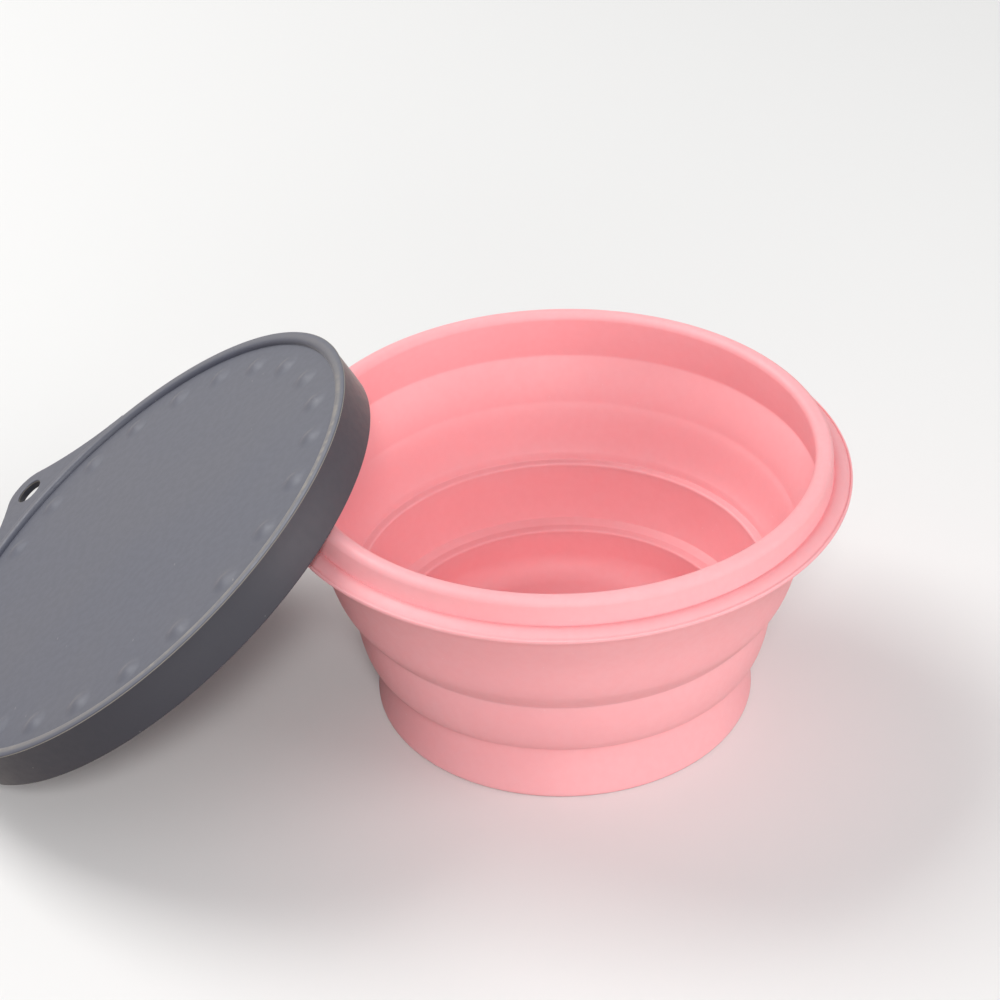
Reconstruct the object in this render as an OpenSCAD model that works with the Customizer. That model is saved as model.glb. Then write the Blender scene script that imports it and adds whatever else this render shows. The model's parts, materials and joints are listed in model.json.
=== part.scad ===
// Collapsible silicone bowl, standing open, with its lid taken off and leaning on the rim.
// The bowl is one moulding that folds at two thin rings, so it is drawn here as the stiff
// rings between the folds and the folds themselves. All sizes are in millimetres.
// The origin is the middle of the underside, and +Z points up.

/* [Base cup] */
// Outer radius of the foot, where the bowl stands
base_r = 52.4; // [46:0.2:60]
// Height of the base cup, from the table to the lower fold
base_h = 16; // [13:0.5:22]
// How much the cup draws in from its foot to its top
base_draw = 2.2; // [1:0.1:3.5]
// Wall of the base cup
base_wall = 2.4; // [1.8:0.1:3.5]
// Thickness of the floor
floor_t = 2.8; // [1.8:0.1:4]
// Radius between the floor and the wall inside
floor_fillet = 7; // [3:0.5:9]
// Rounding under the outer edge of the foot
foot_edge = 0.8; // [0.3:0.1:1.5]

/* [Lower band] */
// Height of the stiff part of the lower band
lower_h = 16; // [13:0.5:22]
// Wall of the lower band at its bottom
lower_wall = 1.9; // [1.4:0.1:2.6]
// How much wider the lower band is at its top than at its bottom
lower_flare = 2.9; // [1.5:0.1:4.5]
// Extra wall that the lower band has at its top
lower_thicker = 0.3; // [0:0.1:0.8]

/* [Upper band] */
// Height of the upper band, from the upper fold to the foot of the rim
upper_h = 28.8; // [24:0.2:36]
// Wall of the upper band at its bottom
upper_wall = 1.8; // [1.4:0.1:2.6]
// How much wider the upper band is at its top than at its bottom
upper_flare = 12.3; // [9:0.1:16]

/* [Folds] */
// Height of the fold between the base cup and the lower band
lower_fold_h = 2.3; // [1.8:0.1:3.5]
// Height of the fold between the lower and the upper band
upper_fold_h = 2.9; // [2.2:0.1:4]
// Thickness of the silicone in the folds
fold_t = 1.1; // [0.7:0.1:1.5]
// Room between one ring and the next when the bowl is pushed flat
nest_gap = 0.5; // [0.4:0.1:1.2]

/* [Rim] */
// Height of the collar, from the upper band to the top of the lip
collar_h = 12.9; // [11.5:0.1:18]
// Wall of the collar at its bottom
collar_wall = 2.9; // [2.2:0.1:4]
// Width of the lip, on top of the collar
lip_w = 4.8; // [4.2:0.1:6]
// Rounding of the lip's two edges
lip_round = 1.9; // [1:0.1:2]
// Height of the groove over the flange, above the upper band
flange_h = 5.8; // [4.5:0.1:7]
// How far the flange stands out from the collar
flange_w = 5.2; // [4:0.1:9]
// Thickness of the flange where it leaves the collar
flange_t = 3.4; // [2.6:0.1:4.2]
// Thickness of the flange at its outer edge
flange_edge_t = 0.9; // [0.5:0.1:1.4]

/* [Lid] */
// Thickness of the lid's flat panel
panel_t = 1.7; // [1.2:0.1:2.8]
// Height of the bead that stands round the panel
bead_h = 1.7; // [1:0.1:2.4]
// How far the lid's skirt reaches down, from the panel's top face
skirt_h = 11.2; // [8.5:0.1:15]
// Wall of the skirt at its lower edge
skirt_wall = 1.7; // [1.2:0.1:2.5]
// Extra wall that the skirt has at its top
skirt_thicker = 1.3; // [0.5:0.1:2]
// Width of the bead on top
bead_w = 3.7; // [3:0.1:5]
// Room between the collar and the skirt when the lid is on
lid_fit = 0.3; // [0.1:0.1:0.6]

/* [Grip bumps] */
// Number of bumps in the ring on the panel
bump_count = 24; // [12:1:30]
// Distance from the panel's edge to the middle of a bump
bump_inset = 7.7; // [5:0.1:10]
// Radius of a bump where it meets the panel
bump_r = 3.3; // [2:0.1:4]
// Height of a bump
bump_h = 0.8; // [0.4:0.1:1.2]

/* [Hanging tab] */
// Direction of the tab, turned from the lid's raised end
tab_turn = 126; // [60:1:170]
// Radius of the hanging hole
hole_r = 4.3; // [3:0.1:5]
// Distance from the skirt to the middle of the hole
hole_out = 8.4; // [7:0.1:10]
// Width of the border round the hole
tab_border = 4.5; // [3:0.1:6]
// Thickness of the tab
tab_t = 2.5; // [1.6:0.1:3.2]
// Angle at which the tab's sides run in towards the hole
tab_taper = 44; // [38:1:48]

/* [Leaning lid] */
// Gap left between the lid's skirt and the lip that it leans on
rest_gap = 0.3; // [0.2:0.1:0.5]

/* [Hidden] */
$fn = 144;
curve_steps = 14;
arc_steps = 8;
overrun = 1;

// Colours of the two silicones
bowl_pink = [0.98, 0.66, 0.68];
fold_pink = [0.93, 0.56, 0.59];
lid_grey = [0.42, 0.43, 0.47];

// Levels of the joints between the rings, from the table up
lower_z = base_h + lower_fold_h;
lower_top_z = lower_z + lower_h;
upper_z = lower_top_z + upper_fold_h;
rim_z = upper_z + upper_h;
lip_z = rim_z + collar_h;

// Radii of the rings. Each ring clears the one inside it by the nesting gap.
base_top_r = base_r - base_draw;
base_in_r = base_top_r - base_wall;
lower_in_r = base_r + nest_gap;
lower_out_r = lower_in_r + lower_wall;
lower_top_out_r = lower_out_r + lower_flare;
lower_top_in_r = lower_top_out_r - lower_wall - lower_thicker;
upper_in_r = lower_top_out_r + nest_gap;
upper_out_r = upper_in_r + upper_wall;
collar_r = upper_out_r + upper_flare;
collar_in_r = collar_r - collar_wall;
flange_r = collar_r + flange_w;

// Handles of the curved outlines: shares of a stretch's widening and of its height
base_outer_shares = [[0.45, 0.3], [1, 0.7]];
lower_outer_shares = [[0.62, 0.2], [0.9, 0.55]];
lower_inner_shares = [[0.62, 0.25], [0.9, 0.6]];
upper_outer_shares = [[0.44, 0.23], [0.21, 0.41]];
upper_inner_shares = [[0.54, 0.29], [0.62, 0.78]];
shoulder_shares = [[0.42, 0.26], [0.86, 0.66]];

// Where the inside of the upper band bends: the step, and the crease under the collar
step_shares = [0.48, 0.51];
crease_share = 0.94;

// Shape of the flange's top: the groove beside the collar, the swell and the drop to the edge
flange_groove = 0.5;
flange_drop = 1;
flange_top_shares = [[0.25, -0.9], [0.7, -0.1]];

// Where a fold bends: shares of its step outwards and of its height
fold_bend_share = 0.45;
fold_sag_share = 0.35;

// The lid, drawn level with its panel's top face at zero and set in its place at the end
skirt_in_r = collar_r + lid_fit;
skirt_out_r = skirt_in_r + skirt_wall;
bead_out_r = skirt_out_r + skirt_thicker;
panel_r = bead_out_r - bead_w;
bead_round = bead_h / 2;
parting_share = 0.35;
skirt_edge_round = skirt_wall / 4;
bump_ball_r = (pow(bump_r, 2) + pow(bump_h, 2)) / (2 * bump_h);
bump_phase_share = 0.42;
hole_at = bead_out_r + hole_out;
tab_r = hole_r + tab_border;

// Place of the leaning lid. Its skirt stands on the table at the low end, and crosses the lip on
// both sides of the raised end, where its edge lies over the lip's outer rounding.
cross_share = 0.847;
cross_s = cross_share * skirt_in_r;
cross_y = sqrt(pow(skirt_in_r, 2) - pow(cross_s, 2));
cross_r = collar_r - lip_round / 2;
lid_reach = cross_s + skirt_out_r - skirt_edge_round;
lid_rise = lip_z + rest_gap - skirt_edge_round;
lean = asin(lid_rise / norm([lid_reach, skirt_edge_round])) + atan(skirt_edge_round / lid_reach);
lid_z = (skirt_out_r - skirt_edge_round) * sin(lean) + (skirt_h - skirt_edge_round) * cos(lean) + skirt_edge_round;
lid_x = -sqrt(pow(cross_r, 2) - pow(cross_y, 2)) - cross_s * cos(lean) - skirt_h * sin(lean);

// Points of a curve from a to b. Each handle is a share of the way across and of the way up.
function curve(a, b, handles) = [
    for (i = [0 : curve_steps])
        let (t = i / curve_steps, d = b - a)
        let (p = [a[0] + handles[0][0] * d[0], a[1] + handles[0][1] * d[1]])
        let (q = [a[0] + handles[1][0] * d[0], a[1] + handles[1][1] * d[1]])
        pow(1 - t, 3) * a + 3 * t * pow(1 - t, 2) * p + 3 * t * t * (1 - t) * q + pow(t, 3) * b
];

// Points of an arc round a centre
function arc(centre, radius, from, to) = [
    for (i = [0 : arc_steps])
        let (angle = from + (to - from) * i / arc_steps)
        centre + radius * [cos(angle), sin(angle)]
];

// The points of a list in the other order
function backwards(points) = [for (i = [len(points) - 1 : -1 : 0]) points[i]];

// Foot, floor and lowest wall, the one part of the bowl that stays put
module base_cup() {
    foot = arc([base_r - foot_edge, foot_edge], foot_edge, -90, 0);
    outside = curve([base_r, foot_edge], [base_top_r, base_h], base_outer_shares);
    inside = arc([base_in_r - floor_fillet, floor_t + floor_fillet], floor_fillet, 0, -90);
    color(bowl_pink)
        rotate_extrude()
            polygon(concat([[0, 0]], foot, outside, [[base_in_r, base_h]], inside, [[0, floor_t]]));
}

// Thin ring that steps out from the top of one ring to the bottom of the next one
module fold_ring(in_r, out_r, z, next_in_r, next_out_r, next_z) {
    bend_z = z + fold_sag_share * (next_z - z);
    bend_out_r = out_r + fold_bend_share * (next_out_r - out_r);
    bend_in_r = in_r + fold_bend_share * (next_in_r - in_r);
    color(fold_pink)
        rotate_extrude()
            polygon([
                [in_r, z],
                [out_r, z],
                [bend_out_r, bend_z],
                [next_out_r, next_z],
                [next_in_r, next_z],
                [bend_in_r, bend_z + fold_t / 2],
                [in_r, z + fold_t / 2]
            ]);
}

// Fold between the base cup and the lower band
module lower_fold() {
    fold_ring(base_in_r, base_top_r, base_h, lower_in_r, lower_out_r, lower_z);
}

// Stiff ring that slides down over the base cup
module lower_band() {
    outside = curve([lower_out_r, lower_z], [lower_top_out_r, lower_top_z], lower_outer_shares);
    inside = curve([lower_in_r, lower_z], [lower_top_in_r, lower_top_z], lower_inner_shares);
    color(bowl_pink)
        rotate_extrude()
            polygon(concat(outside, backwards(inside)));
}

// Fold between the lower and the upper band
module upper_fold() {
    fold_ring(lower_top_in_r, lower_top_out_r, lower_top_z, upper_in_r, upper_out_r, upper_z);
}

// Stiff ring that slides down over the lower band, with the sloping shoulder under the rim
module upper_band() {
    step = [
        upper_in_r + step_shares[0] * (collar_in_r - upper_in_r),
        upper_z + step_shares[1] * upper_h
    ];
    outside = curve([upper_out_r, upper_z], [collar_r, rim_z], upper_outer_shares);
    inside = curve([upper_in_r, upper_z], step, upper_inner_shares);
    shoulder = curve([collar_in_r, upper_z + crease_share * upper_h], step, shoulder_shares);
    to_step = [for (i = [0 : curve_steps - 1]) shoulder[i]];
    color(bowl_pink)
        rotate_extrude()
            polygon(concat(outside, [[collar_in_r, rim_z]], to_step, backwards(inside)));
}

// Thick collar with its rounded lip, and the flange that the lid's skirt stands on
module rim() {
    lip_in = arc([collar_r - lip_w + lip_round, lip_z - lip_round], lip_round, 180, 90);
    lip_out = arc([collar_r - lip_round, lip_z - lip_round], lip_round, 90, 0);
    groove_z = rim_z + flange_h;
    edge_z = groove_z - flange_drop;
    groove = [[collar_r, groove_z + flange_groove]];
    flange_top = curve([collar_r + flange_groove / 2, groove_z], [flange_r, edge_z], flange_top_shares);
    flange_under = [[flange_r, edge_z - flange_edge_t], [collar_r, groove_z - flange_t]];
    color(bowl_pink)
        rotate_extrude()
            polygon(concat(
                [[collar_r, rim_z], [collar_in_r, rim_z]],
                lip_in,
                lip_out,
                groove,
                flange_top,
                flange_under
            ));
}

// Puts what is drawn level in the place of the leaning lid
module leaning() {
    translate([lid_x, 0, lid_z])
        rotate([0, -lean, 0])
            children();
}

// Flat panel of the lid, with its ring of low round bumps
module lid_panel() {
    color(lid_grey)
        leaning()
            union() {
                translate([0, 0, -panel_t])
                    cylinder(r = panel_r, h = panel_t);
                for (i = [0 : bump_count - 1])
                    rotate([0, 0, (i + bump_phase_share) * 360 / bump_count])
                        translate([panel_r - bump_inset, 0, 0])
                            bump();
            }
}

// One bump: the top of a large ball that is sunk in the panel
module bump() {
    intersection() {
        translate([0, 0, bump_h - bump_ball_r])
            sphere(r = bump_ball_r);
        translate([0, 0, -panel_t / 2])
            cylinder(r = bump_ball_r, h = panel_t / 2 + bump_h);
    }
}

// Bead and skirt, all round the panel
module lid_skirt() {
    bead_in = arc([panel_r + bead_round, bead_h - bead_round], bead_round, 180, 90);
    bead_out = arc([bead_out_r - bead_round, bead_h - bead_round], bead_round, 90, 0);
    parting_z = -parting_share * bead_h;
    color(lid_grey)
        leaning()
            rotate_extrude()
                polygon(concat(
                    [[panel_r, -panel_t]],
                    bead_in,
                    bead_out,
                    [[bead_out_r, parting_z], [bead_out_r - bead_round / 2, parting_z - bead_round]],
                    arc([skirt_out_r - skirt_edge_round, skirt_edge_round - skirt_h], skirt_edge_round, 0, -90),
                    [[skirt_in_r, -skirt_h], [skirt_in_r, -panel_t]]
                ));
}

// Tab that the lid hangs from. It ends against the outside of the bead.
module hanging_tab() {
    color(lid_grey)
        leaning()
            rotate([0, 0, tab_turn])
                difference() {
                    translate([0, 0, bead_h - tab_t])
                        tab_outline();
                    translate([hole_at, 0, bead_h - tab_t - overrun])
                        cylinder(r = hole_r, h = tab_t + 2 * overrun);
                    translate([0, 0, bead_h - tab_t - overrun])
                        cylinder(r = bead_out_r, h = tab_t + 2 * overrun);
                }
}

// The tab before it is cut: a round end and two sides that run in to it from the bead
module tab_outline() {
    side = [hole_at + tab_r * sin(tab_taper), tab_r * cos(tab_taper)];
    root_r = bead_out_r - bead_w / 2;
    run = side[0] * cos(tab_taper) - side[1] * sin(tab_taper);
    across = side[0] * sin(tab_taper) + side[1] * cos(tab_taper);
    back = run - sqrt(pow(root_r, 2) - pow(across, 2));
    root = side + back * [-cos(tab_taper), sin(tab_taper)];
    translate([hole_at, 0, 0])
        cylinder(r = tab_r, h = tab_t);
    linear_extrude(tab_t)
        polygon([root, side, [side[0], -side[1]], [root[0], -root[1]]]);
}

base_cup();
lower_fold();
lower_band();
upper_fold();
upper_band();
rim();
lid_panel();
lid_skirt();
hanging_tab();
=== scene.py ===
import json
import math
import bpy
from mathutils import Matrix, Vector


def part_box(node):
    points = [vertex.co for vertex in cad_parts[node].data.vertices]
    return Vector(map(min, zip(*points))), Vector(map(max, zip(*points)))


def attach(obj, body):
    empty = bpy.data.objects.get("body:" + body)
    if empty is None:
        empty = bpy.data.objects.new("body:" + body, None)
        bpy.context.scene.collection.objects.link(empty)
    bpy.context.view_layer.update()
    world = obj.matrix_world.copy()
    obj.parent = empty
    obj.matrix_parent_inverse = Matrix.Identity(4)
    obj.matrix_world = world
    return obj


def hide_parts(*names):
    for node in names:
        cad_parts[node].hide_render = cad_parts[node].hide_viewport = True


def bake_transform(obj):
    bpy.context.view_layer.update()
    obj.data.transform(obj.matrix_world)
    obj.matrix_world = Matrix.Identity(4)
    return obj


# A collapsible silicone bowl, standing open, with its lid taken off and leaning on its rim.
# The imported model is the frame: metres, +Z up, and the bowl's axis goes through the origin.
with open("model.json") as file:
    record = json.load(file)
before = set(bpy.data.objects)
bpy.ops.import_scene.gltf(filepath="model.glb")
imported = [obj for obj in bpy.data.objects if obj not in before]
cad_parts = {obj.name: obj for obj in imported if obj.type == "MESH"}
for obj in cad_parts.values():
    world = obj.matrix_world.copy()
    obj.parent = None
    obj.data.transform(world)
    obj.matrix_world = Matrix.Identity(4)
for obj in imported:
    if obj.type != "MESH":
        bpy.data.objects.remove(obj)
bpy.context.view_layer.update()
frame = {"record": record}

# Camera: a long lens in front of the bowl and above it, turned a little about its own axis
camera_place = (-0.0164, -0.559, 0.4358)
camera_pitch = math.radians(33.86)
camera_turn = math.radians(2.16)
camera_lens_mm = 90
camera_sensor_mm = 36

bpy.ops.object.camera_add()
camera = bpy.context.object
camera.name = "camera"
camera.data.lens = camera_lens_mm
camera.data.sensor_width = camera_sensor_mm
camera.matrix_world = (
    Matrix.Translation(camera_place)
    @ Matrix.Rotation(math.pi / 2 - camera_pitch, 4, "X")
    @ Matrix.Rotation(-camera_turn, 4, "Z")
)
bpy.context.scene.camera = camera

# Base of the bowl: the foot, the floor and the lowest wall, in pink silicone.
# It is moulded in one with the rings above it, and ends inside the first fold, where its
# flat top meets the lower ring. It is thick underneath, so that the bowl stands firmly.
foot_r, base_top_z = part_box("base_cup")[1][0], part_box("base_cup")[1][2]
base_draw = 0.0022
base_wall = 0.0024
floor_t = 0.0028
floor_fillet = 0.007
foot_edge = 0.0008
base_swell = ((0.45, 0.3), (1, 0.7))
spin_steps = 240
merge_reach = 0.000002
crease_angle = math.radians(40)


def arc(centre, radius, start, end, steps=8):
    """Points of an arc round a centre, from one angle in degrees to another."""
    turns = [math.radians(start + (end - start) * i / steps) for i in range(steps + 1)]
    return [(centre[0] + radius * math.cos(t), centre[1] + radius * math.sin(t)) for t in turns]


def curve(a, b, handles, steps=18):
    """Points of a curve from a to b. Each handle is a share of the way across and of the way up."""
    (near_across, near_up), (far_across, far_up) = handles
    across, up = b[0] - a[0], b[1] - a[1]
    near = (a[0] + near_across * across, a[1] + near_up * up)
    far = (a[0] + far_across * across, a[1] + far_up * up)
    points = []
    for i in range(steps + 1):
        t = i / steps
        shares = ((1 - t) ** 3, 3 * t * (1 - t) ** 2, 3 * t * t * (1 - t), t ** 3)
        points.append(tuple(
            shares[0] * a[k] + shares[1] * near[k] + shares[2] * far[k] + shares[3] * b[k] for k in (0, 1)
        ))
    return points


def spun(name, outline, steps=spin_steps):
    """A moulding turned about the upright axis from its outline, a list of (radius, height)."""
    bpy.ops.object.select_all(action="DESELECT")
    bpy.ops.mesh.primitive_plane_add(size=foot_edge, location=(outline[0][0], 0, outline[0][1]))
    piece = bpy.context.object
    piece.name = name
    bpy.ops.object.transform_apply(location=True, rotation=True, scale=True)
    bpy.ops.object.mode_set(mode="EDIT")
    bpy.ops.mesh.select_all(action="SELECT")
    bpy.ops.mesh.merge(type="CENTER")
    for here, there in zip(outline, outline[1:]):
        step = (there[0] - here[0], 0, there[1] - here[1])
        bpy.ops.mesh.extrude_vertices_move(TRANSFORM_OT_translate={"value": step})
    bpy.ops.mesh.select_all(action="SELECT")
    bpy.ops.mesh.spin(steps=steps, angle=2 * math.pi, center=(0, 0, 0), axis=(0, 0, 1))
    bpy.ops.mesh.select_all(action="SELECT")
    bpy.ops.mesh.remove_doubles(threshold=merge_reach)
    bpy.ops.mesh.normals_make_consistent(inside=False)
    bpy.ops.object.mode_set(mode="OBJECT")
    return piece


def smoothed(piece, angle=crease_angle):
    """Smooth shading, with an edge kept where the surface turns by more than the angle."""
    bpy.ops.object.select_all(action="DESELECT")
    piece.select_set(True)
    bpy.context.view_layer.objects.active = piece
    bpy.ops.object.shade_smooth_by_angle(angle=angle)


def add_node(tree, kind, inputs=None, **settings):
    """A new node. Each input is given by name or number, as a value or as the socket that feeds it."""
    node = tree.nodes.new("ShaderNode" + kind)
    for name, value in settings.items():
        setattr(node, name, value)
    for name, value in (inputs or {}).items():
        if isinstance(value, bpy.types.NodeSocket):
            tree.links.new(value, node.inputs[name])
        else:
            node.inputs[name].default_value = value
    return node


def between(tree, value, low, high, from_low=0.0, from_high=1.0):
    """A value carried over smoothly from one range to another."""
    inputs = {"Value": value, "From Min": from_low, "From Max": from_high, "To Min": low, "To Max": high}
    return add_node(tree, "MapRange", inputs, interpolation_type="SMOOTHSTEP").outputs["Result"]


def math_of(tree, a, b, operation="ADD"):
    """Two values added, or put together by another operation."""
    return add_node(tree, "Math", {0: a, 1: b}, operation=operation).outputs[0]


def blended(tree, share, a, b, blend_type="MIX"):
    """Two colours mixed by a share."""
    mix = add_node(tree, "Mix", data_type="RGBA", blend_type=blend_type)
    for number, value in ((0, share), (6, a), (7, b)):
        if isinstance(value, bpy.types.NodeSocket):
            tree.links.new(value, mix.inputs[number])
        else:
            mix.inputs[number].default_value = value
    return mix.outputs[2]


def new_group(name, inputs, outputs):
    """An empty shader group with named sockets, and the sockets seen from inside it."""
    group = bpy.data.node_groups.new(name, "ShaderNodeTree")
    for socket, kind in inputs:
        group.interface.new_socket(name=socket, in_out="INPUT", socket_type="NodeSocket" + kind)
    for socket, kind in outputs:
        group.interface.new_socket(name=socket, in_out="OUTPUT", socket_type="NodeSocket" + kind)
    return group, group.nodes.new("NodeGroupInput").outputs, group.nodes.new("NodeGroupOutput").inputs


# Skin of moulded silicone: a fine grain from the mould's steel, wider ripples, and large soft
# clouds where the surface has been handled
grain_height = 0.35
ripple_height = 0.4
skin, skin_in, skin_out = new_group(
    "moulded_skin",
    [("Vector", "Vector"), ("Grain Size", "Float")],
    [("Height", "Float"), ("Cloud", "Float"), ("Mottle", "Float")],
)
grain = add_node(
    skin, "TexNoise", {"Vector": skin_in["Vector"], "Scale": skin_in["Grain Size"], "Detail": 3.0}
)
ripple = add_node(skin, "TexNoise", {"Vector": skin_in["Vector"], "Scale": 95.0, "Detail": 1.0})
cloud = add_node(skin, "TexNoise", {"Vector": skin_in["Vector"], "Scale": 17.0, "Detail": 3.0})
mottle = add_node(skin, "TexNoise", {"Vector": skin_in["Vector"], "Scale": 420.0, "Detail": 4.0})
fine = math_of(skin, grain.outputs["Fac"], grain_height, "MULTIPLY")
wide = math_of(skin, ripple.outputs["Fac"], ripple_height, "MULTIPLY")
skin.links.new(math_of(skin, fine, wide), skin_out["Height"])
skin.links.new(between(skin, cloud.outputs["Fac"], 0.0, 1.0, 0.3, 0.7), skin_out["Cloud"])
skin.links.new(between(skin, mottle.outputs["Fac"], 0.0, 1.0, 0.35, 0.65), skin_out["Mottle"])

# Lint: the few specks and short fibres that silicone always picks up from the air
lint, lint_in, lint_out = new_group(
    "lint", [("Vector", "Vector"), ("Share", "Float")], [("Mask", "Float")]
)
stretch = add_node(
    lint, "Mapping", {"Vector": lint_in["Vector"], "Rotation": (0.6, 0.9, 0.4), "Scale": (1, 0.4, 1)}
)
specks = add_node(lint, "TexVoronoi", {"Vector": stretch.outputs[0], "Scale": 420.0})
near = between(lint, specks.outputs["Distance"], 1.0, 0.0, 0.03, 0.12)
chosen = add_node(lint, "SeparateColor", {0: specks.outputs["Color"]}).outputs[0]
few = math_of(lint, chosen, lint_in["Share"], "LESS_THAN")
lint.links.new(math_of(lint, near, few, "MULTIPLY"), lint_out["Mask"])


def in_group(tree, group, inputs):
    """A group placed in a material, with its inputs set."""
    node = tree.nodes.new("ShaderNodeGroup")
    node.node_tree = group
    for name, value in inputs.items():
        if isinstance(value, bpy.types.NodeSocket):
            tree.links.new(value, node.inputs[name])
        else:
            node.inputs[name].default_value = value
    return node.outputs


grain_depth = 0.00004


def finish(tree, shader, surface, least, cloud_share, mottle_share, grain_share):
    """Roughness, from the least of it and what the clouds and the mottle add, and the skin's grain."""
    roughness = math_of(tree, math_of(tree, surface["Cloud"], cloud_share, "MULTIPLY"), least)
    roughness = math_of(tree, roughness, math_of(tree, surface["Mottle"], mottle_share, "MULTIPLY"))
    tree.links.new(roughness, shader.inputs["Roughness"])
    inputs = {"Height": surface["Height"], "Strength": grain_share, "Distance": grain_depth}
    bump = add_node(tree, "Bump", inputs)
    tree.links.new(bump.outputs[0], shader.inputs["Normal"])


def pink_silicone():
    """Satin pink silicone, a little see-through at the surface, paler where it is handled."""
    material = bpy.data.materials.new("pink_silicone")
    material.use_nodes = True
    tree = material.node_tree
    shader = tree.nodes["Principled BSDF"]
    place = add_node(tree, "TexCoord").outputs["Object"]
    surface = in_group(tree, skin, {"Vector": place, "Grain Size": 1500.0})
    dust = in_group(tree, lint, {"Vector": place, "Share": 0.05})
    body = (0.9, 0.405, 0.432, 1)
    paler = (0.915, 0.435, 0.462, 1)
    deeper = (0.885, 0.372, 0.398, 1)
    dusty = (0.97, 0.75, 0.76, 1)
    deeper_share = 0.22
    dusty_share = 0.3
    colour = blended(tree, surface["Cloud"], body, paler)
    colour = blended(tree, math_of(tree, surface["Mottle"], deeper_share, "MULTIPLY"), colour, deeper)
    colour = blended(tree, math_of(tree, dust["Mask"], dusty_share, "MULTIPLY"), colour, dusty)
    tree.links.new(colour, shader.inputs["Base Color"])
    finish(tree, shader, surface, least=0.44, cloud_share=0.07, mottle_share=0.05, grain_share=0.3)
    shader.inputs["Subsurface Weight"].default_value = 0.18
    shader.inputs["Subsurface Radius"].default_value = (1.0, 0.35, 0.3)
    shader.inputs["Subsurface Scale"].default_value = 0.003
    shader.inputs["IOR"].default_value = 1.42
    return material


bowl_material = pink_silicone()


def finished(piece, material):
    """Gives a piece its material."""
    piece.data.materials.clear()
    piece.data.materials.append(material)


base_top_r = foot_r - base_draw
base_in_r = base_top_r - base_wall
outline = [(0, 0)]
outline += arc((foot_r - foot_edge, foot_edge), foot_edge, -90, 0)
outline += curve((foot_r, foot_edge), (base_top_r, base_top_z), base_swell)[1:]
outline += [(base_in_r, base_top_z)]
outline += arc((base_in_r - floor_fillet, floor_t + floor_fillet), floor_fillet, 0, -90, steps=14)
outline += [(0, floor_t)]
bowl_base = spun("bowl_base", outline)
smoothed(bowl_base)
finished(bowl_base, bowl_material)
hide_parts("base_cup")
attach(bowl_base, "base")

# Lower ring of the bowl, with the fold that joins it to the base. One moulding in pink silicone:
# the fold is thin and rolls over when the bowl is pushed flat, and the ring above it stays stiff.
lower_out_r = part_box("lower_fold")[1][0]
lower_top_r, lower_top_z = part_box("lower_band")[1][0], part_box("lower_band")[1][2]
lower_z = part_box("lower_band")[0][2]
nest_gap = 0.0005
lower_top_wall = 0.0022
lower_swell = ((0.62, 0.2), (0.9, 0.55))
lower_hollow = ((0.62, 0.25), (0.9, 0.6))
fold_reach = 0.0009
ledge_rise = 0.0012
ledge_round = 0.0008
groove_rise = 0.0002
band_edge = 0.0007
edge_steps = 3


def turned(corner, before, after, reach, steps=6):
    """Points that turn a corner softly, starting and ending at a reach from it."""
    def towards(point):
        away = math.dist(corner, point)
        return tuple(corner[k] + (point[k] - corner[k]) * reach / away for k in (0, 1))

    start, end = towards(before), towards(after)
    points = []
    for i in range(steps + 1):
        t = i / steps
        points.append(tuple(
            (1 - t) ** 2 * start[k] + 2 * t * (1 - t) * corner[k] + t * t * end[k] for k in (0, 1)
        ))
    return points


def ring_outline(below, first_z, ledge_r, outer, inner):
    """Outline of a ring and of the fold under it, which starts at a height on the ring below.

    below holds the inner and the outer radius there, and outer and inner are the ring's own curves.
    """
    below_in_r, below_out_r = below
    edge = outer[0]
    underside = (edge[0] - fold_reach, edge[1] - groove_rise)
    groove = (below_out_r, first_z + groove_rise)
    shelf_z = first_z + ledge_rise
    points = [(below_in_r, first_z), (below_out_r, first_z)]
    points += turned(groove, points[-1], underside, groove_rise)
    points += turned(edge, underside, outer[edge_steps + 1], band_edge)
    points += outer[edge_steps:]
    points += inner[::-1]
    points += turned((ledge_r, shelf_z), inner[0], (below_in_r, shelf_z), ledge_round / 3)
    points += turned((below_in_r, shelf_z), (ledge_r, shelf_z), (below_in_r, first_z), ledge_round)
    return points + [points[0]]


lower_in_r = foot_r + nest_gap
lower_top_in_r = lower_top_r - lower_top_wall
outer = curve((lower_out_r, lower_z), (lower_top_r, lower_top_z), lower_swell)
inner = curve((lower_in_r, lower_z), (lower_top_in_r, lower_top_z), lower_hollow)
outline = ring_outline((base_in_r, base_top_r), base_top_z, base_top_r + nest_gap / 2, outer, inner)
lower_ring = spun("lower_ring_with_fold", outline)
smoothed(lower_ring)
finished(lower_ring, bowl_material)
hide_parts("lower_fold", "lower_band")
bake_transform(lower_ring)

# Upper ring of the bowl, with its fold, its sloping shoulder, the thick collar and lip, and the
# flange that the lid's skirt comes down to. Pink silicone, the same moulding as the rest.
upper_out_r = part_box("upper_fold")[1][0]
collar_r, rim_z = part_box("upper_band")[1][0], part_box("upper_band")[1][2]
upper_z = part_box("upper_band")[0][2]
flange_r, lip_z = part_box("rim")[1][0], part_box("rim")[1][2]
collar_wall = 0.0029
lip_w = 0.0048
lip_round = 0.0021
groove_h = 0.0058
groove_depth = 0.0005
flange_t = 0.0034
flange_edge_t = 0.0009
flange_edge_round = 0.00035
flange_drop = 0.001
under_flange_round = 0.0011
flange_swell = ((0.3, -0.9), (0.7, -0.1))
edge_bead = 0.0005
edge_bead_h = 0.00018
upper_swell = ((0.44, 0.23), (0.21, 0.41))
upper_hollow = ((0.54, 0.29), (0.62, 0.78))
shoulder_swell = ((0.42, 0.26), (0.86, 0.66))
step_shares = (0.48, 0.51)
crease_share = 0.94
crease_round = 0.0005

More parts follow.
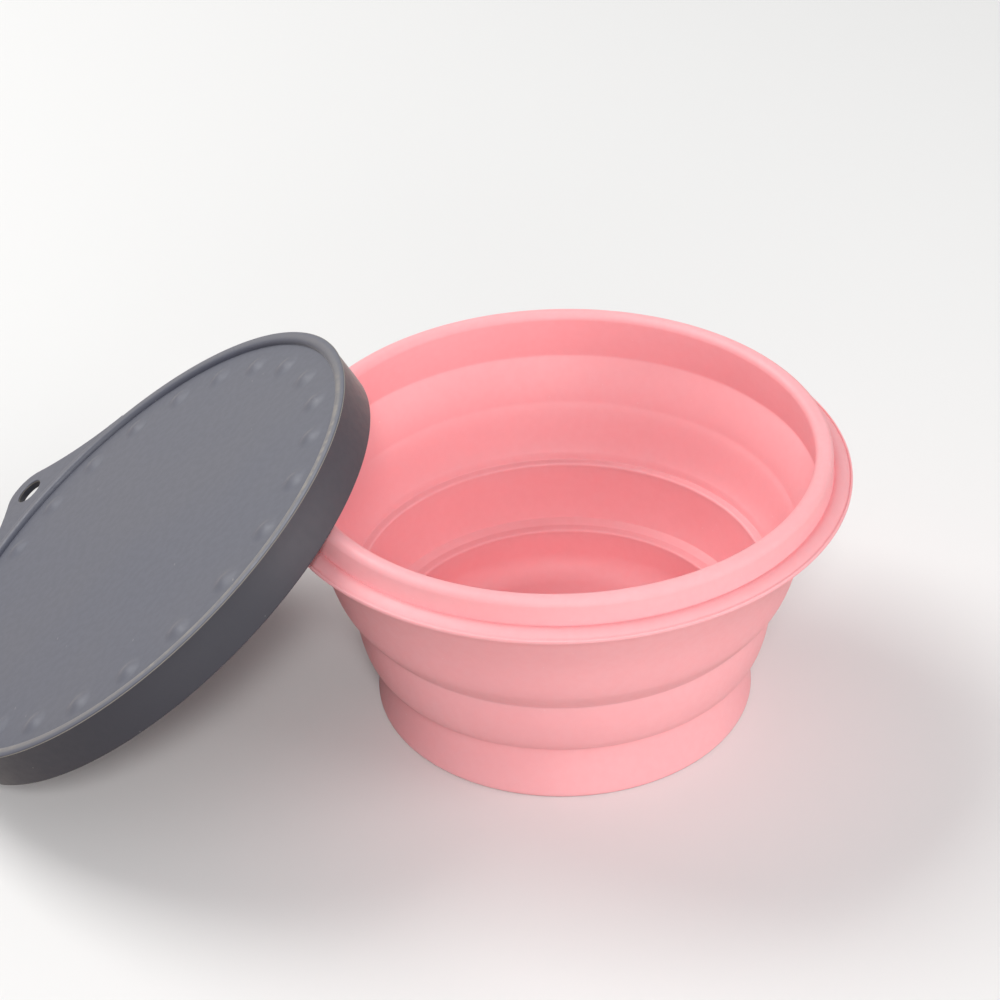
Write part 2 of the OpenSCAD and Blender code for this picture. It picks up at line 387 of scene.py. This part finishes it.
upper_in_r = lower_top_r + nest_gap
collar_in_r = collar_r - collar_wall
upper_h = rim_z - upper_z
step_point = (
    upper_in_r + step_shares[0] * (collar_in_r - upper_in_r),
    upper_z + step_shares[1] * upper_h,
)
crease = (collar_in_r, upper_z + crease_share * upper_h)
outer = curve((upper_out_r, upper_z), (collar_r, rim_z), upper_swell)
hollow = curve((upper_in_r, upper_z), step_point, upper_hollow)
shoulder = curve(crease, step_point, shoulder_swell)
lip_in = arc((collar_r - lip_w + lip_round, lip_z - lip_round), lip_round, 180, 95, steps=10)
lip_out = arc((collar_r - lip_round, lip_z - lip_round), lip_round, 85, 0, steps=10)
groove_z = rim_z + groove_h
flange_edge_z = groove_z - flange_drop
flange_foot_r = flange_r - 1.5 * edge_bead
flange_start = (collar_r + groove_depth / 2, groove_z)
groove_start = (collar_r, groove_z + groove_depth)
flange_top = curve(flange_start, (flange_foot_r, flange_edge_z), flange_swell)
flange_top += [
    (flange_foot_r + edge_bead / 2, flange_edge_z - edge_bead_h / 2),
    (flange_r - edge_bead, flange_edge_z + edge_bead_h),
    (flange_r - edge_bead / 2, flange_edge_z + edge_bead_h),
]
flange_under = (flange_r, flange_edge_z - flange_edge_t)
flange_foot = (collar_r, groove_z - flange_t)

rim_outline = outer[:-1]
rim_outline += turned(flange_foot, outer[-1], flange_under, under_flange_round)
rim_outline += turned(flange_under, flange_foot, (flange_r, flange_edge_z), flange_edge_round)
rim_outline += turned((flange_r, flange_edge_z), flange_under, flange_top[-1], flange_edge_round / 2)
rim_outline += flange_top[:0:-1]
rim_outline += turned(flange_start, flange_top[2], groove_start, groove_depth / 3)
rim_outline += [groove_start]
rim_outline += lip_out[::-1] + lip_in[::-1]
wall = turned(crease, lip_in[0], shoulder[2], crease_round) + shoulder[2:-2]
wall += turned(step_point, shoulder[-3], hollow[-3], crease_round)
wall += hollow[-3::-1]
outline = ring_outline(
    (lower_top_in_r, lower_top_r), lower_top_z, lower_top_r + nest_gap / 2, rim_outline + wall[:-1], wall[-1:]
)
upper_ring = spun("upper_ring_with_rim", outline)
smoothed(upper_ring)
finished(upper_ring, bowl_material)
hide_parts("upper_fold", "upper_band", "rim")
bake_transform(upper_ring)

# Panel of the lid: a flat disc of blue-grey silicone with a ring of low round bumps for grip.
# It is moulded in one with the rim round it, and lies in the lid's leaning plane.
hang_hole = next(mount for mount in frame["record"]["mounts"] if mount["name"] == "hang_hole")
lean = math.asin(-hang_hole["axis"][0])
panel_low, panel_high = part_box("lid_panel")
panel_r = panel_high[1]
lid_x = panel_low[0] + panel_r * math.cos(lean)
lid_z = panel_high[2] - panel_r * math.sin(lean)
panel_t = 0.0017
bump_count = 24
bump_phase_share = 0.42
bump_ring_r = panel_r - 0.0077
bump_r = 0.0046
bump_h = 0.0008
parting_z = 0.0011
columns_per_bump = 36
bump_rows = 20
bump_row_step = 0.00045
# Where the lid's painted shade and painted highlights start and end: outwards past the panel's edge, up from
# the panel's face, and, for the bead's crest, a painted highlight broken up like wear, from the near side of
# the lid to the far side
side_past = (0.0014, 0.0022)
side_below = (0.0011, 0.0015)
under_panel = (-0.0016, -0.001)
line_past = (0.0028, 0.0033)
line_half_width = (0.00008, 0.0002)
crest_past = 0.0016
crest_half_width = (0.0004, 0.0013)
crest_above = (0.0004, 0.001)
crest_fades = (-0.02, 0.05)


def leaning(piece):
    """Turns a piece that was modelled level into the plane of the leaning lid, and moves it there."""
    bpy.ops.object.select_all(action="DESELECT")
    piece.select_set(True)
    bpy.context.view_layer.objects.active = piece
    bpy.ops.object.mode_set(mode="EDIT")
    bpy.ops.mesh.select_all(action="SELECT")
    bpy.ops.transform.rotate(value=lean, orient_axis="Y", center_override=(0, 0, 0))
    bpy.ops.transform.translate(value=(lid_x, 0, lid_z))
    bpy.ops.object.mode_set(mode="OBJECT")


def close_to(tree, value, middle, full, gone):
    """1 where a value is close to a middle, and less further off."""
    off = math_of(tree, math_of(tree, value, middle, "SUBTRACT"), 0.0, "ABSOLUTE")
    return between(tree, off, 1.0, 0.0, full, gone)


def grey_silicone():
    """Matt blue-grey silicone, with painted shade that makes it darker on the side and inside, a painted
    highlight along the parting line, and the bead's crest pale with a painted highlight broken up like wear.
    """
    material = bpy.data.materials.new("grey_silicone")
    material.use_nodes = True
    tree = material.node_tree
    shader = tree.nodes["Principled BSDF"]
    place = add_node(tree, "TexCoord").outputs["Object"]
    level = add_node(
        tree, "Mapping",
        {"Vector": place, "Location": (lid_x, 0, lid_z), "Rotation": (0, -lean, 0)},
        vector_type="TEXTURE",
    ).outputs[0]
    surface = in_group(tree, skin, {"Vector": level, "Grain Size": 1900.0})
    dust = in_group(tree, lint, {"Vector": level, "Share": 0.1})
    body = (0.069, 0.073, 0.1, 1)
    bluer = (0.066, 0.072, 0.103, 1)
    darker = (0.063, 0.066, 0.09, 1)
    # painted shade: a darker colour for the bead's outer slope, the skirt and the underside, where the lid
    # falls into shade
    side = (0.019, 0.0205, 0.031, 1)
    # pale colour for the painted highlight along the parting line, and for the bead's crest, where it is a
    # painted highlight and wear
    pale_highlight_and_wear = (0.35, 0.315, 0.265, 1)
    dusty = (0.3, 0.29, 0.28, 1)
    darker_share = 0.3
    # share of the painted highlight along the parting line
    parting_highlight_share = 0.5
    # share of the painted highlight and wear on the bead's crest
    crest_highlight_and_wear_share = 0.8
    dusty_share = 0.5
    # the share of the crest's painted highlight that is left on the far side of the lid
    far_side_least = 0.15
    worn_range = (0.35, 0.8)
    along = add_node(tree, "SeparateXYZ", {0: level}).outputs
    flat = add_node(tree, "CombineXYZ", {"X": along["X"], "Y": along["Y"]}).outputs[0]
    reach = add_node(tree, "VectorMath", {0: flat}, operation="LENGTH").outputs["Value"]
    past = math_of(tree, reach, panel_r, "SUBTRACT")
    # mask of the painted shade: the bead's outer slope and the skirt below the bead's top, and the underside
    # of the panel
    painted_shade_mask = between(tree, past, 0.0, 1.0, *side_past)
    painted_shade_mask = math_of(tree, painted_shade_mask, between(tree, along["Z"], 1.0, 0.0, *side_below), "MULTIPLY")
    painted_shade_mask = math_of(tree, painted_shade_mask, between(tree, along["Z"], 1.0, 0.0, *under_panel), "MAXIMUM")
    # painted highlight: a pale line along the parting line under the bead, where light catches its rounded
    # edge
    parting_line_highlight = close_to(tree, along["Z"], parting_z, *line_half_width)
    parting_line_highlight = math_of(tree, parting_line_highlight, between(tree, past, 0.0, 1.0, *line_past), "MULTIPLY")
    # the bead's crest: a painted highlight, strongest on the near side and fading towards the far side,
    # broken up into patches like wear
    crest_highlight_and_wear = close_to(tree, past, crest_past, *crest_half_width)
    crest_highlight_and_wear = math_of(tree, crest_highlight_and_wear, between(tree, along["Z"], 0.0, 1.0, *crest_above), "MULTIPLY")
    crest_highlight_and_wear = math_of(tree, crest_highlight_and_wear, between(tree, along["Y"], 1.0, far_side_least, *crest_fades), "MULTIPLY")
    worn = math_of(tree, surface["Cloud"], surface["Mottle"], "MULTIPLY")
    crest_highlight_and_wear = math_of(tree, crest_highlight_and_wear, between(tree, worn, *worn_range), "MULTIPLY")
    colour = blended(tree, surface["Cloud"], body, bluer)
    colour = blended(tree, math_of(tree, surface["Mottle"], darker_share, "MULTIPLY"), colour, darker)
    # the painted shade, mixed in on the side and underneath
    colour = blended(tree, painted_shade_mask, colour, side)
    # the painted highlight along the parting line
    colour = blended(tree, math_of(tree, parting_line_highlight, parting_highlight_share, "MULTIPLY"), colour, pale_highlight_and_wear)
    # the painted highlight and wear on the bead's crest
    colour = blended(tree, math_of(tree, crest_highlight_and_wear, crest_highlight_and_wear_share, "MULTIPLY"), colour, pale_highlight_and_wear)
    colour = blended(tree, math_of(tree, dust["Mask"], dusty_share, "MULTIPLY"), colour, dusty)
    tree.links.new(colour, shader.inputs["Base Color"])
    finish(tree, shader, surface, least=0.46, cloud_share=0.05, mottle_share=0.06, grain_share=0.08)
    shader.inputs["IOR"].default_value = 1.62
    shader.inputs["Sheen Weight"].default_value = 0.2
    shader.inputs["Sheen Roughness"].default_value = 0.35
    shader.inputs["Sheen Tint"].default_value = (1.0, 0.95, 0.88, 1)
    return material


lid_material = grey_silicone()

columns = bump_count * columns_per_bump
first_row = bump_ring_r - bump_row_step * bump_rows / 2
outline = [(0, 0), (panel_r / 3, 0), (first_row - bump_r / 2, 0)]
outline += [(first_row + bump_row_step * i, 0) for i in range(bump_rows + 1)]
outline += [(panel_r, 0), (panel_r, -panel_t)]
outline += [(first_row - bump_r, -panel_t), (panel_r / 3, -panel_t), (0, -panel_t)]
lid_panel = spun("lid_panel_with_bumps", outline, columns)

bpy.ops.object.mode_set(mode="EDIT")
bpy.ops.mesh.select_mode(type="VERT")
bpy.ops.mesh.select_all(action="SELECT")
bpy.ops.transform.rotate(
    value=-2 * math.pi * bump_phase_share / bump_count, orient_axis="Z", center_override=(0, 0, 0)
)
bpy.ops.mesh.select_all(action="DESELECT")
bpy.ops.object.mode_set(mode="OBJECT")
for i in range(bump_count):
    turn = 2 * math.pi * (i + bump_phase_share) / bump_count
    middle = (bump_ring_r * math.cos(turn), bump_ring_r * math.sin(turn), 0)
    nearest = min(lid_panel.data.vertices, key=lambda vertex: math.dist(vertex.co, middle))
    nearest.select = True
bpy.ops.object.mode_set(mode="EDIT")
bpy.ops.transform.translate(
    value=(0, 0, bump_h), use_proportional_edit=True, proportional_edit_falloff="SMOOTH",
    proportional_size=bump_r,
)
bpy.ops.object.mode_set(mode="OBJECT")
smoothed(lid_panel)
leaning(lid_panel)
finished(lid_panel, lid_material)
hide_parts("lid_panel")
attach(lid_panel, "lid")

# Rim of the lid: the raised bead, the skirt that grips the bowl's collar, and the tab with its
# hanging hole. Blue-grey silicone, one moulding, with a fine parting line under the bead.
skirt_h = 0.0112
skirt_wall = 0.0017
lid_fit = 0.0003
bead_w = 0.0037
bead_h = 0.0017
bead_in_swell = ((0.02, 0.75), (0.45, 1))
bead_out_swell = ((0.6, 0), (0.97, 0.5))
parting_proud = 0.00018
skirt_swell = ((0.35, 0.2), (0.5, 0.6))
skirt_round = 0.0004
foot_round = 0.0007
hole_r = hang_hole["dims"]["r_mm"] / 1000
hole_at = 0.084
tab_turn = math.radians(126)
tab_border = 0.0045
tab_t = hang_hole["dims"]["length_mm"] / 1000
tab_side_r = 0.08
tab_root_share = 0.55
tab_edge = 0.0004
tab_edge_steps = 3
tab_edge_from = math.radians(60)
hole_steps = 64
face_weight = 80

bead_out_r = panel_r + bead_w
skirt_in_r = collar_r + lid_fit
skirt_out_r = skirt_in_r + skirt_wall
crest = (panel_r + bead_w / 2, bead_h)
face_r = bead_out_r - parting_proud
outline = [(panel_r, -panel_t), (panel_r, 0)]
outline += curve((panel_r, bead_h / 6), crest, bead_in_swell, steps=10)
outline += curve(crest, (face_r, parting_z + parting_proud), bead_out_swell, steps=10)[1:]
outline += [(bead_out_r, parting_z), (face_r, parting_z - parting_proud)]
skirt_top = (face_r, parting_z - 2 * parting_proud)
outline += curve(skirt_top, (skirt_out_r, skirt_round - skirt_h), skirt_swell, steps=16)
outline += arc((skirt_out_r - skirt_round, skirt_round - skirt_h), skirt_round, 0, -90, steps=5)[1:]
outline += arc((skirt_in_r + skirt_round, skirt_round - skirt_h), skirt_round, -90, -180, steps=5)
outline += turned((skirt_in_r, -panel_t), (skirt_in_r, -skirt_h), (panel_r, -panel_t), foot_round)
outline += [outline[0]]
lid_rim = spun("lid_rim_with_tab", outline)

tab_r = hole_r + tab_border
side_at = bead_out_r + tab_side_r
side_from_hole = tab_r + tab_side_r
side_turn = math.acos((side_at ** 2 + hole_at ** 2 - side_from_hole ** 2) / (2 * side_at * hole_at))
side_middle = (side_at * math.cos(side_turn), side_at * math.sin(side_turn))
end_turn = math.atan2(side_middle[1], side_middle[0] - hole_at)
bead_turn = math.degrees(side_turn)
round_turn = math.degrees(end_turn)
tab_top = bead_h - tab_edge / 5
root_r = panel_r + bead_w * tab_root_share
tab_outline = arc((0, 0), root_r, bead_turn, -bead_turn, steps=24)
tab_outline += arc((side_middle[0], -side_middle[1]), tab_side_r, 180 - bead_turn, 180 - round_turn, steps=12)
tab_outline += arc((hole_at, 0), tab_r, -round_turn, round_turn, steps=32)[1:]
tab_outline += arc(side_middle, tab_side_r, 180 + round_turn, 180 + bead_turn, steps=12)[1:]

bpy.ops.object.select_all(action="DESELECT")
bpy.ops.mesh.primitive_plane_add(size=tab_edge, location=(*tab_outline[0], tab_top - tab_t))
tab = bpy.context.object
tab.name = "tab"
bpy.ops.object.transform_apply(location=True, rotation=True, scale=True)
bpy.ops.object.mode_set(mode="EDIT")
bpy.ops.mesh.select_all(action="SELECT")
bpy.ops.mesh.merge(type="CENTER")
for here, there in zip(tab_outline, tab_outline[1:] + tab_outline[:1]):
    bpy.ops.mesh.extrude_vertices_move(
        TRANSFORM_OT_translate={"value": (there[0] - here[0], there[1] - here[1], 0)}
    )
bpy.ops.mesh.select_all(action="SELECT")
bpy.ops.mesh.remove_doubles(threshold=merge_reach)
bpy.ops.mesh.edge_face_add()
bpy.ops.mesh.extrude_region_move(TRANSFORM_OT_translate={"value": (0, 0, tab_t)})
bpy.ops.mesh.select_all(action="SELECT")
bpy.ops.mesh.normals_make_consistent(inside=False)
bpy.ops.object.mode_set(mode="OBJECT")


def with_modifier(piece, kind, **settings):
    """Adds a modifier to a piece and applies it."""
    bpy.ops.object.select_all(action="DESELECT")
    piece.select_set(True)
    bpy.context.view_layer.objects.active = piece
    bpy.ops.object.modifier_add(type=kind)
    modifier = piece.modifiers[-1]
    for name, value in settings.items():
        setattr(modifier, name, value)
    bpy.ops.object.modifier_apply(modifier=modifier.name)


bpy.ops.mesh.primitive_cylinder_add(
    vertices=hole_steps, radius=hole_r, depth=tab_t * 3, location=(hole_at, 0, 0)
)
hole = bpy.context.object
with_modifier(tab, "BOOLEAN", object=hole, operation="DIFFERENCE", solver="EXACT")
bpy.data.objects.remove(hole)
with_modifier(
    tab, "BEVEL",
    width=tab_edge, segments=tab_edge_steps, limit_method="ANGLE", angle_limit=tab_edge_from,
)
bpy.ops.object.mode_set(mode="EDIT")
bpy.ops.mesh.select_all(action="SELECT")
bpy.ops.transform.rotate(value=-tab_turn, orient_axis="Z", center_override=(0, 0, 0))
bpy.ops.object.mode_set(mode="OBJECT")
with_modifier(lid_rim, "BOOLEAN", object=tab, operation="UNION", solver="EXACT")
bpy.data.objects.remove(tab)
smoothed(lid_rim)
with_modifier(lid_rim, "WEIGHTED_NORMAL", keep_sharp=True, weight=face_weight)
leaning(lid_rim)
finished(lid_rim, lid_material)
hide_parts("lid_skirt", "hanging_tab")
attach(lid_rim, "lid")

# Floor: a plain sheet that the bowl and the lid stand on. The camera sees it pale, fading into the
# white backdrop far away, and it throws back less light on the object than it would if it were pale.
floor_r = 6
floor_fade = (0.55, 1.5)
seen_colour = (0.8, 0.8, 0.8, 1)
thrown_colour = (0.5, 0.45, 0.43, 1)
floor_roughness = 0.8
floor_shine = 0.2
bpy.ops.object.select_all(action="DESELECT")
bpy.ops.mesh.primitive_circle_add(vertices=96, radius=floor_r, fill_type="NGON")
floor = bpy.context.object
floor.name = "floor"
floor_material = bpy.data.materials.new("pale_floor")
floor_material.use_nodes = True
floor_tree = floor_material.node_tree
floor_shader = floor_tree.nodes["Principled BSDF"]
seen_floor = add_node(floor_tree, "LightPath").outputs["Is Camera Ray"]
floor_colour = blended(floor_tree, seen_floor, thrown_colour, seen_colour)
floor_tree.links.new(floor_colour, floor_shader.inputs["Base Color"])
floor_shader.inputs["Roughness"].default_value = floor_roughness
floor_shader.inputs["Specular IOR Level"].default_value = floor_shine
floor_place = add_node(floor_tree, "TexCoord").outputs["Object"]
away = add_node(floor_tree, "VectorMath", {0: floor_place}, operation="LENGTH").outputs["Value"]
faded = math_of(floor_tree, between(floor_tree, away, 0.0, 1.0, *floor_fade), seen_floor, "MULTIPLY")
white = add_node(floor_tree, "Emission", {"Color": (1, 1, 1, 1), "Strength": 1.0})
floor_look = add_node(floor_tree, "MixShader", {0: faded, 1: floor_shader.outputs[0], 2: white.outputs[0]})
floor_tree.links.new(floor_look.outputs[0], floor_tree.nodes["Material Output"].inputs["Surface"])
floor.data.materials.append(floor_material)

# Light: a soft box high at the back left, a small one high in front, a low wide one in front for the
# bowl's wall, one at the right, and a pale surround. Each box is given by its name, place, width,
# power and tint.
soft_boxes = (
    ("key_light", (-0.9, 0.65, 1.25), 0.9, 18.5, (1.0, 0.985, 0.96)),
    ("front_light", (0.0, -1.4, 1.2), 0.3, 12.5, (1.0, 0.99, 0.98)),
    ("low_light", (0.15, -1.7, 0.2), 1.0, 12.0, (1.0, 0.99, 0.98)),
    ("side_light", (1.4, -0.45, 0.65), 0.9, 9.5, (1.0, 0.99, 0.98)),
)
aim = Matrix.Translation((0, 0, lip_z / 2)).translation
for light_name, place, width, power, tint in soft_boxes:
    bpy.ops.object.light_add(type="AREA", location=place)
    light = bpy.context.object
    light.name = light_name
    light.data.size = width
    light.data.energy = power
    light.data.color = tint
    light.rotation_euler = (light.location - aim).to_track_quat("Z", "Y").to_euler()

room_tint = (0.96, 0.98, 1.0, 1)
room_strength = 0.3
world = bpy.data.worlds.new("pale_room")
bpy.context.scene.world = world
world.use_nodes = True
room = world.node_tree
room.nodes.clear()
ray = add_node(room, "LightPath").outputs
seen = math_of(room, math_of(room, ray["Is Camera Ray"], ray["Is Glossy Ray"]), ray["Is Transmission Ray"])
lighting = add_node(room, "Background", {"Color": room_tint, "Strength": room_strength})
backdrop = add_node(room, "Background", {"Color": (1, 1, 1, 1), "Strength": 1.0})
both = add_node(room, "MixShader", {0: seen, 1: lighting.outputs[0], 2: backdrop.outputs[0]})
add_node(room, "OutputWorld", {"Surface": both.outputs[0]})

bpy.context.scene.view_settings.view_transform = "Standard"
